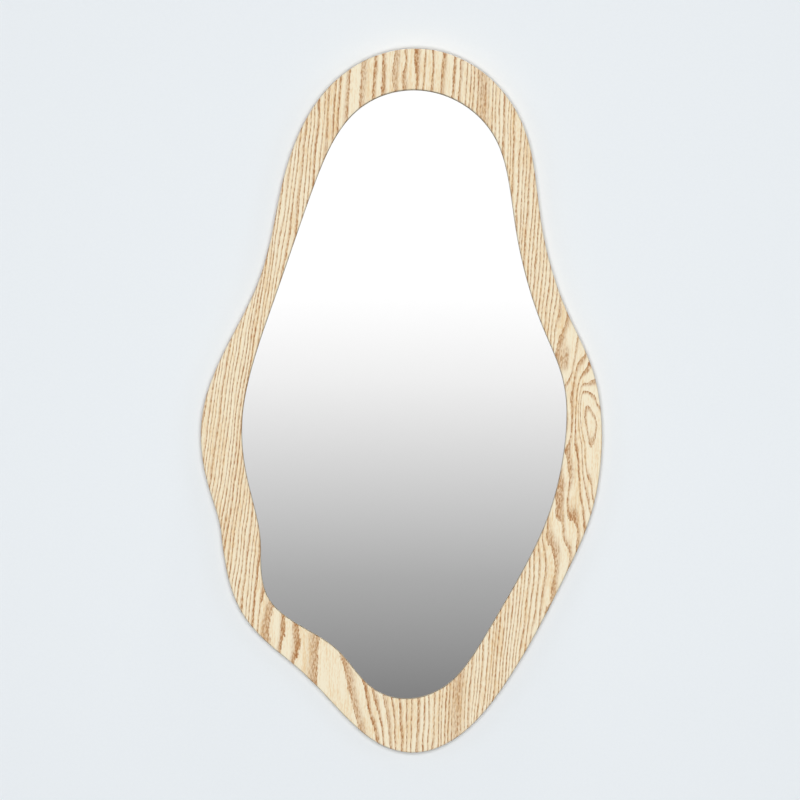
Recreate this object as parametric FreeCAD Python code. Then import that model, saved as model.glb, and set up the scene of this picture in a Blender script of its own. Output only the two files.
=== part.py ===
import FreeCAD, Part
import math
import os

Vector = FreeCAD.Vector

# Irregular pebble-shaped wall mirror with a veneered wooden ring, in millimetres.
#
# X runs to the right as the mirror is looked at, Z runs up, and the front faces -Y.
# The wall is the plane Y = 0. The origin lies on the wall, behind the middle of the mirror.

# ---- Driving dimensions -------------------------------------------------------------------

MIRROR_WIDTH = 401.0  # over the outside of the wooden ring
MIRROR_HEIGHT = 704.0

# Pulls on the sight outline, the edge of the glass that shows, counter-clockwise from the
# crown: x, z, and the width of the wooden face outside the sight edge there. A closed cubic
# curve follows the pulls: it passes near them, inside a bulge and outside a hollow. They are
# drawn for a mirror of the drawn width and height, and another mirror stretches them.
DRAWN_WIDTH = 401.0
DRAWN_HEIGHT = 704.0
SIGHT_PULLS = (
    (29, 322, 46),  # crown, right of its middle
    (-56, 299, 34),  # crown, left end
    (-92, 206, 34),  # left shoulder
    (-124, 109, 11),  # left waist, where the ring is narrowest
    (-171, -18, 48),  # left belly
    (-146, -111, 34),  # hollow under the left belly
    (-139, -141, 42),
    (-144, -207, 24),  # left hip
    (-71, -239, 42),  # hollow between hip and foot
    (-50, -266, 39),
    (-28, -293, 36),
    (9, -303, 62),  # foot
    (55, -285, 40),
    (90, -225, 44),  # lower right side
    (134, -150, 38),
    (159, -88, 42),
    (172, 14, 31),  # right belly
    (139, 71, 28),  # hollow over the right belly
    (111, 169, 25),  # right waist
    (106, 271, 28),  # right shoulder
)
STATIONS_PER_PULL = 6
STRETCHES = 4  # edges that a closed outline is drawn with

STANDOFF = 4.0  # wall to the back of the ring
CORE_DEPTH = 16.0  # fibreboard under the face
FACE_THICKNESS = 2.0  # sawn wooden face
FACE_EASE = 1.5  # rounding of the face's two front edges
EDGE_BAND = 1.0  # wooden edging on the outer and the inner edge of the core
LIP_DEPTH = 5.0  # core in front of the glass

GLASS_THICKNESS = 4.0
GLASS_LAP = 5.0  # glass hidden behind the lip
GLASS_ARRIS = 0.5  # ground corner round the glass
GLASS_CLEARANCE = 2.0  # glass edge to pocket wall
SILVERING = 0.1  # silver and its backing paint

TAPE_THICKNESS = 1.0
TAPE_WIDTH = 3.0
TAPE_COUNT = 6
TAPE_BREAK = 12.0  # bare lip between two lengths of tape

SPACER_LENGTH = 22.0
SPACER_HEIGHT_ABOVE_FOOT = 40.0
SPACER_FIT = 0.05  # spacer to the glass and to the pocket wall

FOAM_SETBACK = 2.0  # foam edge to glass edge

BOARD_THICKNESS = 3.0
BOARD_RIM = 6.0  # core that shows round the back board
BOARD_CLEARANCE = 0.5

SCREW_INSET = 11.0  # board screws to the outline
SCREWS_OVER_CROWN = 4
SCREWS_UNDER_HANGERS = 10
SCREW_SHANK_RADIUS = 1.5
SCREW_POINT = 2.5
SCREW_FIT = 0.05  # screw to its pilot hole and its countersink
BOARD_SCREW_LENGTH = 12.0
BOARD_SCREW_HEAD_RADIUS = 2.8
BOARD_SCREW_HEAD_EDGE = 0.3
HANGER_SCREW_LENGTH = 13.0
HANGER_SCREW_HEAD_RADIUS = 2.9
HANGER_SCREW_HEAD_HEIGHT = 1.7
DRIVE_SLOT_LENGTH = 3.0
DRIVE_SLOT_WIDTH = 0.7
DRIVE_SLOT_DEPTH = 1.0

HANGER_HEIGHT = 230.0  # hinge line of both hangers over the middle of the mirror
STRAP_SHEET = 0.8
STRAP_WIDTH = 9.0
STRAP_LENGTH = 24.0  # hinge line to the rounded end
STRAP_HOLE_RADIUS = 1.7
STRAP_HOLE_DROPS = (6.5, 18.0)  # screws below the hinge line
RING_WIRE_RADIUS = 1.0
RING_FIT = 0.1  # ring wire to the strap's loop
RING_SIDE_PLAY = 0.4  # straight part of the wire past each side of the strap
RING_CORNER_RADIUS = 2.0
RING_REACH = 12.0  # hinge line to the middle of the wire at the ring's crown

BUMPER_RADIUS = 6.0
BUMPER_CROWN_RADIUS = 5.2
BUMPER_ROUNDING = 1.2
BUMPER_INSET = 20.0
BUMPER_SCREW_GAPS = (1, 4, 6, 9)  # gaps between board screws, counted down from the left hanger

OVERCUT = 1.0  # how far a cutter runs past the face that it leaves by

# ---- Levels worked out from them ----------------------------------------------------------

BACK = -STANDOFF
CORE_FRONT = BACK - CORE_DEPTH
FACE_FRONT = CORE_FRONT - FACE_THICKNESS
LIP_BACK = CORE_FRONT + LIP_DEPTH
GLASS_FRONT = LIP_BACK + TAPE_THICKNESS
GLASS_BACK = GLASS_FRONT + GLASS_THICKNESS
SILVERING_BACK = GLASS_BACK + SILVERING
BOARD_FRONT = BACK - BOARD_THICKNESS

POCKET_GROWTH = GLASS_LAP + GLASS_CLEARANCE
LOOP_BORE_RADIUS = RING_WIRE_RADIUS + RING_FIT
LOOP_RADIUS = LOOP_BORE_RADIUS + STRAP_SHEET
STRAP_THICKNESS = 2 * STRAP_SHEET
HINGE_LEVEL = BACK + LOOP_RADIUS


# ---- Outlines -----------------------------------------------------------------------------

def pulled_point(index, step):
    """Blend the four pulls about a span into x, z and width: the uniform cubic B-spline."""
    rest = 1 - step
    weights = (
        rest ** 3 / 6,
        (3 * step ** 3 - 6 * step ** 2 + 4) / 6,
        (3 * rest ** 3 - 6 * rest ** 2 + 4) / 6,
        step ** 3 / 6,
    )
    pulls = [SIGHT_PULLS[(index + offset) % len(SIGHT_PULLS)] for offset in (-1, 0, 1, 2)]
    return [sum(w * pull[axis] for w, pull in zip(weights, pulls)) for axis in (0, 1, 2)]


def outward_normals(stations):
    """The unit normals of a closed counter-clockwise list of (x, z) stations."""
    normals = []
    for index in range(len(stations)):
        before = stations[index - 1]
        after = stations[(index + 1) % len(stations)]
        run_x = after[0] - before[0]
        run_z = after[1] - before[1]
        run = math.hypot(run_x, run_z)
        normals.append((run_z / run, -run_x / run))
    return normals


class Outline:
    """A smooth closed curve seen from the front, through numbered (x, z) stations."""

    def __init__(self, stations):
        self.stations = stations
        self.curve = Part.BSplineCurve()
        self.curve.interpolate(Points=[Vector(x, 0, z) for x, z in stations], PeriodicFlag=True)

    def grown(self, distances):
        """The outline moved outwards by a distance, or by one distance for each station."""
        if not isinstance(distances, list):
            distances = [distances] * len(self.stations)
        moved = zip(self.stations, outward_normals(self.stations), distances)
        return Outline([(x + nx * by, z + nz * by) for (x, z), (nx, nz), by in moved])

    def point_at(self, fraction):
        """The point at a fraction of the outline's length, counted from the crown."""
        along = self.curve.length() * (fraction % 1.0)
        return self.curve.value(self.curve.parameterAtDistance(along, self.curve.FirstParameter))

    def fraction_at_height(self, height, side):
        """Where the outline crosses a height, on the right (side 1) or the left (side -1)."""
        first = self.curve.FirstParameter
        parameters = self.parameters(2 * len(self.stations))
        for low, high in zip(parameters, parameters[1:]):
            above, below = [self.curve.value(parameter).z - height for parameter in (low, high)]
            if above * below <= 0 < self.curve.value(low).x * side:
                crossing = low + (high - low) * above / (above - below)
                return self.curve.length(first, crossing) / self.curve.length()
        raise ValueError(f"the outline has no point at height {height} on side {side}")

    def parameters(self, count):
        """The ends of a number of even steps of the curve's parameter."""
        first = self.curve.FirstParameter
        span = self.curve.LastParameter - first
        return [first + span * step / count for step in range(count + 1)]

    def stretch(self, start, end):
        """The part of the curve between the points that lie nearest to two others."""
        return self.curve.toShape(self.curve.parameter(start), self.curve.parameter(end))

    def wire(self):
        """The whole closed curve."""
        ends = self.parameters(STRETCHES)
        return Part.Wire([self.curve.toShape(low, high) for low, high in zip(ends, ends[1:])])


def build_outlines():
    """The sight outline, and the outer one that the width of the face sets."""
    stretch_x = MIRROR_WIDTH / DRAWN_WIDTH
    stretch_z = MIRROR_HEIGHT / DRAWN_HEIGHT
    stations = []
    widths = []
    for index in range(len(SIGHT_PULLS)):
        for step in range(STATIONS_PER_PULL):
            x, z, width = pulled_point(index, step / STATIONS_PER_PULL)
            stations.append((x * stretch_x, z * stretch_z))
            widths.append(width)
    sight = Outline(stations)
    return sight, sight.grown(widths)


SIGHT, OUTER = build_outlines()
SCREW_LINE = OUTER.grown(-SCREW_INSET)
BUMPER_LINE = OUTER.grown(-BUMPER_INSET)


# ---- Shared building blocks ---------------------------------------------------------------

def plate(outline, front, back):
    """A solid plate of an outline between two levels of Y."""
    face = Part.Face(outline.wire())
    solid = face.extrude(Vector(0, back - front, 0))
    solid.translate(Vector(0, front, 0))
    return solid


def ring(outside, inside, front, back):
    """A plate with a hole of another outline."""
    return plate(outside, front, back).cut(plate(inside, front - OVERCUT, back + OVERCUT))


def strip(outside, inside, start, end, front, back):
    """A length of the band between two outlines, square across at its two ends."""
    long_edges = [line.stretch(start, end) for line in (outside, inside)]
    ends = [
        Part.makeLine(long_edges[0].valueAt(long_edges[0].FirstParameter),
                      long_edges[1].valueAt(long_edges[1].FirstParameter)),
        Part.makeLine(long_edges[0].valueAt(long_edges[0].LastParameter),
                      long_edges[1].valueAt(long_edges[1].LastParameter)),
    ]
    face = Part.Face(Part.Wire(Part.__sortEdges__(long_edges + ends)))
    solid = face.extrude(Vector(0, back - front, 0))
    solid.translate(Vector(0, front, 0))
    return solid


def turned(profile):
    """A solid turned about the Y axis from (radius, y) corners."""
    corners = [Vector(radius, y, 0) for radius, y in profile]
    face = Part.Face(Part.makePolygon(corners + corners[:1]))
    return face.revolve(Vector(0, 0, 0), Vector(0, 1, 0), 360)


def drill(radius, place, front, back):
    """A round cutter along Y between two levels, through an (x, z) place."""
    return Part.makeCylinder(radius, back - front, Vector(place.x, front, place.z), Vector(0, 1, 0))


def edges_at_level(shape, level):
    """The edges of a shape that lie wholly at one level of Y."""
    near = 1e-4
    return [
        edge for edge in shape.Edges
        if abs(edge.BoundBox.YMin - level) < near and abs(edge.BoundBox.YMax - level) < near
    ]


def cut_drive_cross(screw, top):
    """Cut the cross recess into a screw's head, whose top lies at a level of Y."""
    for length, width in ((DRIVE_SLOT_LENGTH, DRIVE_SLOT_WIDTH), (DRIVE_SLOT_WIDTH, DRIVE_SLOT_LENGTH)):
        corner = Vector(-length / 2, top - DRIVE_SLOT_DEPTH, -width / 2)
        screw = screw.cut(Part.makeBox(length, DRIVE_SLOT_DEPTH + OVERCUT, width, corner))
    return screw


def placed(shape, place, level):
    """A copy of a shape moved to an (x, z) place and a level of Y."""
    copy = shape.copy()
    copy.translate(Vector(place.x, level, place.z))
    return copy


def export(node, shape):
    """Write one piece as its own file."""
    shape.exportStep(f"parts/{node}.step")
    print(f"{node}: {len(shape.Solids)} solid(s), {shape.Volume:.0f} mm3, valid {shape.isValid()}")


# ---- Places -------------------------------------------------------------------------------

def hanger_places():
    """The two hinge places, midway over the solid ledge on the left and on the right."""
    ledge_outside = OUTER.grown(-BOARD_RIM)
    ledge_inside = SIGHT.grown(POCKET_GROWTH)
    strap_middle = HANGER_HEIGHT - STRAP_LENGTH / 2
    places = {}
    for name, side in (("left", -1), ("right", 1)):
        sides = [
            line.point_at(line.fraction_at_height(strap_middle, side)).x
            for line in (ledge_outside, ledge_inside)
        ]
        places[name] = Vector(sum(sides) / 2, 0, HANGER_HEIGHT)
    return places


HANGERS = hanger_places()


def hanger_screw_places():
    """The places of the screws through both straps."""
    return [hinge - Vector(0, 0, drop) for hinge in HANGERS.values() for drop in STRAP_HOLE_DROPS]


def board_screw_fractions():
    """Stations of the board screws: even over the crown and even below the two hangers."""
    left, right = [SCREW_LINE.fraction_at_height(HANGER_HEIGHT, side) for side in (-1, 1)]
    over_crown = (left - right) % 1.0
    below = 1.0 - over_crown
    stations = [right + over_crown * (k + 0.5) / SCREWS_OVER_CROWN for k in range(SCREWS_OVER_CROWN)]
    stations += [
        left + below * (k + 0.5) / SCREWS_UNDER_HANGERS for k in range(SCREWS_UNDER_HANGERS)
    ]
    return stations, left, below


def board_screw_places():
    """The places of the screws round the back board."""
    return [SCREW_LINE.point_at(fraction) for fraction in board_screw_fractions()[0]]


def bumper_places():
    """The places of the bumpers, each abreast of the middle of a gap between two board screws."""
    left, below = board_screw_fractions()[1:]
    places = []
    for gap in BUMPER_SCREW_GAPS:
        fraction = left + below * gap / SCREWS_UNDER_HANGERS
        beside = SCREW_LINE.point_at(fraction)
        places.append(BUMPER_LINE.curve.value(BUMPER_LINE.curve.parameter(beside)))
    return places


# ---- The wooden ring ----------------------------------------------------------------------

def make_face_veneer():
    """The sawn wooden face, with both of its front edges eased."""
    face = ring(OUTER, SIGHT, FACE_FRONT, CORE_FRONT)
    return face.makeFillet(FACE_EASE, edges_at_level(face, FACE_FRONT))


def make_outer_edge_band():
    """The edging round the outside of the core."""
    return ring(OUTER, OUTER.grown(-EDGE_BAND), CORE_FRONT, BACK)


def make_inner_edge_band():
    """The edging round the sight edge, as deep as the lip."""
    return ring(SIGHT.grown(EDGE_BAND), SIGHT, CORE_FRONT, LIP_BACK)


def make_frame_core():
    """The fibreboard core: a lip, a pocket for the glass, and a recess for the back board."""
    core = plate(OUTER.grown(-EDGE_BAND), CORE_FRONT, BACK)
    openings = [
        plate(SIGHT.grown(EDGE_BAND), CORE_FRONT - OVERCUT, BACK),
        plate(SIGHT.grown(POCKET_GROWTH), LIP_BACK, BACK),
        plate(OUTER.grown(-BOARD_RIM), BOARD_FRONT, BACK + OVERCUT),
    ]
    for opening in openings:
        core = core.cut(opening)
    pilot_radius = SCREW_SHANK_RADIUS + SCREW_FIT
    pilots = [
        drill(pilot_radius, place, BACK - length - SCREW_FIT, BACK)
        for places, length in (
            (board_screw_places(), BOARD_SCREW_LENGTH),
            (hanger_screw_places(), HANGER_SCREW_LENGTH),
        )
        for place in places
    ]
    return core.cut(pilots)


# ---- The glass and what holds it ----------------------------------------------------------

def make_mirror_glass():
    """The float glass, with a ground arris round its front and its back."""
    edge = SIGHT.grown(GLASS_LAP)
    flat = SIGHT.grown(GLASS_LAP - GLASS_ARRIS)
    wires = []
    for outline, level in (
        (flat, GLASS_FRONT),
        (edge, GLASS_FRONT + GLASS_ARRIS),
        (edge, GLASS_BACK - GLASS_ARRIS),
        (flat, GLASS_BACK),
    ):
        wire = outline.wire()
        wire.translate(Vector(0, level, 0))
        wires.append(wire)
    return Part.makeLoft(wires, True, True)


def make_silvering():
    """The silver and its paint on the back of the glass, inside the arris."""
    return plate(SIGHT.grown(GLASS_LAP - GLASS_ARRIS), GLASS_BACK, SILVERING_BACK)


def make_glass_tapes():
    """Lengths of foam tape between the lip and the glass, with a break between two lengths."""
    tape_outside = GLASS_LAP - GLASS_ARRIS
    edges = [SIGHT.grown(tape_outside), SIGHT.grown(tape_outside - TAPE_WIDTH)]
    half_break = TAPE_BREAK / 2 / SIGHT.curve.length()
    tapes = []
    for k in range(TAPE_COUNT):
        start = SIGHT.point_at(k / TAPE_COUNT + half_break)
        end = SIGHT.point_at((k + 1) / TAPE_COUNT - half_break)
        tapes.append(strip(*edges, start, end, LIP_BACK, GLASS_FRONT))
    return tapes


def make_glass_spacers():
    """Two rubber spacers that the lower edge of the glass stands on."""
    edges = [SIGHT.grown(POCKET_GROWTH - SPACER_FIT), SIGHT.grown(GLASS_LAP + SPACER_FIT)]
    foot = min(z for x, z in SIGHT.stations)
    half_length = SPACER_LENGTH / 2 / SIGHT.curve.length()
    spacers = {}
    for name, side in (("left", -1), ("right", 1)):
        middle = SIGHT.fraction_at_height(foot + SPACER_HEIGHT_ABOVE_FOOT, side)
        start = SIGHT.point_at(middle - half_length)
        end = SIGHT.point_at(middle + half_length)
        spacers[name] = strip(*edges, start, end, GLASS_FRONT, GLASS_BACK)
    return spacers


def make_foam_sheet():
    """The foam that the back board presses against the silvering."""
    return plate(SIGHT.grown(GLASS_LAP - FOAM_SETBACK), SILVERING_BACK, BOARD_FRONT)


# ---- The back board -----------------------------------------------------------------------

def make_board_screw():
    """A countersunk wood screw, with its head at Y = 0 and its point towards the front."""
    cone = BOARD_SCREW_HEAD_RADIUS - SCREW_SHANK_RADIUS
    screw = turned([
        (0, 0),
        (BOARD_SCREW_HEAD_RADIUS, 0),
        (BOARD_SCREW_HEAD_RADIUS, -BOARD_SCREW_HEAD_EDGE),
        (SCREW_SHANK_RADIUS, -BOARD_SCREW_HEAD_EDGE - cone),
        (SCREW_SHANK_RADIUS, SCREW_POINT - BOARD_SCREW_LENGTH),
        (0, -BOARD_SCREW_LENGTH),
    ])
    return cut_drive_cross(screw, 0)


def make_countersink():
    """The hole that a board screw's head and shank need in the board, with its fit."""
    head = BOARD_SCREW_HEAD_RADIUS + SCREW_FIT
    shank = SCREW_SHANK_RADIUS + SCREW_FIT
    cone_end = -BOARD_SCREW_HEAD_EDGE - (head - shank) - SCREW_FIT
    return turned([
        (0, OVERCUT),
        (head, OVERCUT),
        (head, -BOARD_SCREW_HEAD_EDGE - SCREW_FIT),
        (shank, cone_end),
        (shank, -BOARD_THICKNESS - OVERCUT),
        (0, -BOARD_THICKNESS - OVERCUT),
    ])


def make_back_board():
    """The thin hardboard back, flush in its recess, with its screw holes."""
    board = plate(OUTER.grown(-BOARD_RIM - BOARD_CLEARANCE), BOARD_FRONT, BACK)
    countersink = make_countersink()
    holes = [placed(countersink, place, BACK) for place in board_screw_places()]
    holes += [
        drill(SCREW_SHANK_RADIUS + SCREW_FIT, place, BOARD_FRONT - OVERCUT, BACK + OVERCUT)
        for place in hanger_screw_places()
    ]
    return board.cut(holes)


def make_board_screws():
    """All the screws of the back board."""
    screw = make_board_screw()
    return Part.makeCompound([placed(screw, place, BACK) for place in board_screw_places()])


# ---- Hangers and bumpers ------------------------------------------------------------------

def make_hanger_strap():
    """A folded steel strap, its loop about the origin and its two leaves lying under it."""
    half_width = STRAP_WIDTH / 2
    leaf_length = STRAP_LENGTH - half_width
    leaf = Part.makeBox(
        STRAP_WIDTH, STRAP_THICKNESS, leaf_length, Vector(-half_width, -LOOP_RADIUS, -leaf_length))
    rounded_end = Part.makeCylinder(
        half_width, STRAP_THICKNESS, Vector(0, -LOOP_RADIUS, -leaf_length), Vector(0, 1, 0))
    loop = Part.makeCylinder(LOOP_RADIUS, STRAP_WIDTH, Vector(-half_width, 0, 0), Vector(1, 0, 0))
    bore = Part.makeCylinder(
        LOOP_BORE_RADIUS, STRAP_WIDTH + 2 * OVERCUT, Vector(-half_width - OVERCUT, 0, 0), Vector(1, 0, 0))
    strap = leaf.fuse([rounded_end, loop]).removeSplitter().cut(bore)
    holes = [
        drill(STRAP_HOLE_RADIUS, Vector(0, 0, -drop), -LOOP_RADIUS - OVERCUT, LOOP_RADIUS + OVERCUT)
        for drop in STRAP_HOLE_DROPS
    ]
    return strap.cut(holes)


def make_hanger_ring():
    """A D-shaped wire ring, its straight side along X through the origin and its crown up."""
    straight = STRAP_WIDTH / 2 + RING_SIDE_PLAY
    half_width = straight + RING_CORNER_RADIUS
    spring_line = RING_REACH - half_width
    bend = RING_CORNER_RADIUS * (1 - math.sqrt(0.5))
    crown_middle = half_width * math.sqrt(0.5)

    def at(x, z):
        return Vector(x, 0, z)

    path = Part.Wire([
        Part.makeLine(at(-straight, 0), at(straight, 0)),
        Part.Arc(at(straight, 0), at(half_width - bend, bend), at(half_width, RING_CORNER_RADIUS)).toShape(),
        Part.makeLine(at(half_width, RING_CORNER_RADIUS), at(half_width, spring_line)),
        Part.Arc(at(half_width, spring_line), at(crown_middle, spring_line + crown_middle),
                 at(0, RING_REACH)).toShape(),
        Part.Arc(at(0, RING_REACH), at(-crown_middle, spring_line + crown_middle),
                 at(-half_width, spring_line)).toShape(),
        Part.makeLine(at(-half_width, spring_line), at(-half_width, RING_CORNER_RADIUS)),
        Part.Arc(at(-half_width, RING_CORNER_RADIUS), at(bend - half_width, bend), at(-straight, 0)).toShape(),
    ])
    section = Part.Wire(Part.makeCircle(RING_WIRE_RADIUS, at(-straight, 0), Vector(1, 0, 0)))
    return path.makePipeShell([section], True, True)


def make_hanger_screw():
    """A pan-head wood screw, the underside of its head at Y = 0 and its point towards the front."""
    screw = turned([
        (0, HANGER_SCREW_HEAD_HEIGHT),
        (HANGER_SCREW_HEAD_RADIUS, HANGER_SCREW_HEAD_HEIGHT),
        (HANGER_SCREW_HEAD_RADIUS, 0),
        (SCREW_SHANK_RADIUS, 0),
        (SCREW_SHANK_RADIUS, SCREW_POINT - HANGER_SCREW_LENGTH),
        (0, -HANGER_SCREW_LENGTH),
    ])
    rounding = HANGER_SCREW_HEAD_HEIGHT * 0.6
    screw = screw.makeFillet(rounding, edges_at_level(screw, HANGER_SCREW_HEAD_HEIGHT))
    return cut_drive_cross(screw, HANGER_SCREW_HEAD_HEIGHT)


def make_hanger_screws():
    """All the screws of the two hangers."""
    screw = make_hanger_screw()
    head_level = BACK + STRAP_THICKNESS
    return Part.makeCompound([placed(screw, place, head_level) for place in hanger_screw_places()])


def make_bumper():
    """A rubber bumper that stands on Y = 0 and reaches back to the wall."""
    bumper = turned([(0, 0), (BUMPER_RADIUS, 0), (BUMPER_CROWN_RADIUS, STANDOFF), (0, STANDOFF)])
    return bumper.makeFillet(BUMPER_ROUNDING, edges_at_level(bumper, STANDOFF))


# ---- The whole mirror ---------------------------------------------------------------------

def build():
    """Make every piece and write it out."""
    os.makedirs("parts", exist_ok=True)
    export("face_veneer", make_face_veneer())
    export("frame_core", make_frame_core())
    export("outer_edge_band", make_outer_edge_band())
    export("inner_edge_band", make_inner_edge_band())

    export("mirror_glass", make_mirror_glass())
    export("mirror_silvering", make_silvering())
    for number, tape in enumerate(make_glass_tapes(), start=1):
        export(f"glass_tape_{number}", tape)
    for side, spacer in make_glass_spacers().items():
        export(f"glass_spacer_{side}", spacer)
    export("foam_sheet", make_foam_sheet())

    export("back_board", make_back_board())
    export("back_board_screws", make_board_screws())

    strap = make_hanger_strap()
    ring_of_wire = make_hanger_ring()
    for side, hinge in HANGERS.items():
        export(f"hanger_strap_{side}", placed(strap, hinge, HINGE_LEVEL))
        export(f"hanger_ring_{side}", placed(ring_of_wire, hinge, HINGE_LEVEL))
        print(f"hinge {side}: x {hinge.x:.3f}, y {HINGE_LEVEL:.3f}, z {hinge.z:.3f}")
    export("hanger_screws", make_hanger_screws())

    bumper = make_bumper()
    for number, place in enumerate(bumper_places(), start=1):
        export(f"wall_bumper_{number}", placed(bumper, place, BACK))
        print(f"bumper {number}: x {place.x:.3f}, z {place.z:.3f}")


build()
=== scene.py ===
"""An irregular wall mirror, dressed: an ash-faced ring of uneven width round silvered glass.

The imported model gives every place. Lengths are written in millimetres and turned to metres
where they meet Blender. X runs to the right, Z up, the front faces -Y, the wall is Y = 0.
"""

import logging
import math
from dataclasses import dataclass
from enum import Enum
from typing import Callable

import bmesh
import bpy
from mathutils import Matrix, Vector, kdtree


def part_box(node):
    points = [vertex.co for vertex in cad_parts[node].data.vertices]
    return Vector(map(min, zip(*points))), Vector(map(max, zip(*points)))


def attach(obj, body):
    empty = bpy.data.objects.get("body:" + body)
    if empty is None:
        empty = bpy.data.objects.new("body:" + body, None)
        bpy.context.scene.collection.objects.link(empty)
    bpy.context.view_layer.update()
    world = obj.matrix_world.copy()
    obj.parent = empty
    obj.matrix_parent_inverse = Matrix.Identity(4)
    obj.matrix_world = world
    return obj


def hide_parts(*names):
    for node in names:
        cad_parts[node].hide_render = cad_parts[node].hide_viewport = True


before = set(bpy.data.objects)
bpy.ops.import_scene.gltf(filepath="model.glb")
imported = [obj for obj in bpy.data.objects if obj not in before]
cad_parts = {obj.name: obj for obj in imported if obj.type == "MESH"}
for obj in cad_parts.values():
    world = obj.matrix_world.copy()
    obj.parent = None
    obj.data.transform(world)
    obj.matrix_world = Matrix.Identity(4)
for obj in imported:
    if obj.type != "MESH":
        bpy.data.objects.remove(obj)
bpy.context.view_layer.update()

Piece = bpy.types.Object
Material = bpy.types.Material
Tree = bpy.types.NodeTree
Socket = bpy.types.NodeSocket
Triple = tuple[float, float, float]
Span = tuple[float, float]

LOG = logging.getLogger("mirror")
MM = 0.001
TOUCH = 1e-6  # m; places nearer than this are one
LEVEL_PLAY = 0.05  # mm; a CAD point this near a level is on it
CREASE = 35.0  # degrees; corners sharper than this stay sharp
CORNER = 60.0  # degrees; an edge that turns more than this is a corner
SWEEP_STEP = 11.0  # degrees between two rings of a swept bend

# Pulls on the sight outline, counter-clockwise from the crown: x, z and the width of the
# wooden face outside the sight edge there, in mm. A closed cubic curve follows the pulls.
SIGHT_PULLS = (
    (29, 322, 46),
    (-56, 299, 34),
    (-92, 206, 34),
    (-124, 109, 11),
    (-171, -18, 48),
    (-146, -111, 34),
    (-139, -141, 42),
    (-144, -207, 24),
    (-71, -239, 42),
    (-50, -266, 39),
    (-28, -293, 36),
    (9, -303, 62),
    (55, -285, 40),
    (90, -225, 44),
    (134, -150, 38),
    (159, -88, 42),
    (172, 14, 31),
    (139, 71, 28),
    (111, 169, 25),
    (106, 271, 28),
)
STATIONS_PER_PULL = 48
CHORD_TRIM = 0.05  # mm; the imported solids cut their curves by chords, and the pieces stay inside them

# Levels of Y in mm, from the wall towards the viewer.
RING_BACK = -4.0
GLASS_BACK = -10.0
LIP_BACK = -15.0
CORE_FRONT = -20.0
FACE_FRONT = -22.0


# ---- Outlines and meshes --------------------------------------------------------------------

@dataclass
class Outline:
    """A smooth closed line seen from the front, as a dense list of (x, z) points in mm."""

    points: list[Span]

    def normals(self) -> list[Span]:
        """Find the outward unit normal at each point.

        Returns:
            One (x, z) pair for each point.
        """
        normals = []
        count = len(self.points)
        for index in range(count):
            before = self.points[index - 1]
            after = self.points[(index + 1) % count]
            run_x = after[0] - before[0]
            run_z = after[1] - before[1]
            run = math.hypot(run_x, run_z)
            normals.append((run_z / run, -run_x / run))
        return normals

    def grown(self, distances: float | list[float]) -> "Outline":
        """Move the outline outwards.

        Args:
            distances: How far in mm, one value or one for each point.

        Returns:
            The moved outline.
        """
        if not isinstance(distances, list):
            distances = [distances] * len(self.points)
        moved = zip(self.points, self.normals(), distances)
        return Outline([(x + nx * by, z + nz * by) for (x, z), (nx, nz), by in moved])


def sight_and_outer() -> tuple[Outline, Outline]:
    """Follow the pulls with a closed cubic curve.

    Returns:
        The sight outline and the outer one, which the width of the face sets.
    """
    points = []
    widths = []
    count = len(SIGHT_PULLS)
    for index in range(count):
        pulls = [SIGHT_PULLS[(index + offset) % count] for offset in (-1, 0, 1, 2)]
        for station in range(STATIONS_PER_PULL):
            step = station / STATIONS_PER_PULL
            rest = 1 - step
            weights = (
                rest**3 / 6,
                (3 * step**3 - 6 * step**2 + 4) / 6,
                (3 * rest**3 - 6 * rest**2 + 4) / 6,
                step**3 / 6,
            )
            x, z, width = [sum(w * pull[axis] for w, pull in zip(weights, pulls)) for axis in range(3)]
            points.append((x, z))
            widths.append(width)
    sight = Outline(points)
    return sight, sight.grown([width - CHORD_TRIM for width in widths])


SIGHT, OUTER = sight_and_outer()


def deselect_pieces() -> None:
    """Deselect every object."""
    bpy.ops.object.select_all(action="DESELECT")


def settle() -> None:
    """Put the selected piece's place, turn and scale into its mesh."""
    bpy.ops.object.transform_apply(location=True, rotation=True, scale=True)


def face_outwards() -> None:
    """Select all of the mesh in edit mode and turn its faces outwards."""
    bpy.ops.mesh.select_all(action="SELECT")
    bpy.ops.mesh.normals_make_consistent(inside=False)


def extrude_by(x: float, y: float, z: float) -> None:
    """Extrude what is selected by a way in mm, given along each axis."""
    bpy.ops.mesh.extrude_region_move(TRANSFORM_OT_translate={"value": (x * MM, y * MM, z * MM)})


def line_of_vertices(outline: Outline, level: float) -> Piece:
    """Add a circle and move its vertices onto an outline.

    Args:
        outline: The line to follow.
        level: Its Y in mm.

    Returns:
        The object, a closed loop of edges with no face.
    """
    deselect_pieces()
    bpy.ops.mesh.primitive_circle_add(vertices=len(outline.points), radius=0.2, fill_type="NOTHING")
    loop = bpy.context.object
    for vertex, (x, z) in zip(loop.data.vertices, outline.points):
        vertex.co = (x * MM, level * MM, z * MM)
    return loop


class Part(Enum):
    """What is selected of a mesh in edit mode."""

    VERTICES = "VERT"
    EDGES = "EDGE"
    FACES = "FACE"


def select(part: Part, test: Callable[..., bool]) -> None:
    """Select what passes a test in the mesh in edit mode, and nothing else.

    Args:
        part: What to look at, which also sets the select mode.
        test: Takes one vertex, edge or face.
    """
    bpy.ops.mesh.select_all(action="DESELECT")
    bpy.ops.mesh.select_mode(type=part.value)
    mesh = bpy.context.object.data
    cage = bmesh.from_edit_mesh(mesh)
    items = {Part.VERTICES: cage.verts, Part.EDGES: cage.edges, Part.FACES: cage.faces}
    for item in items[part]:
        if test(item):
            item.select_set(True)
    bmesh.update_edit_mesh(mesh)


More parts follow.
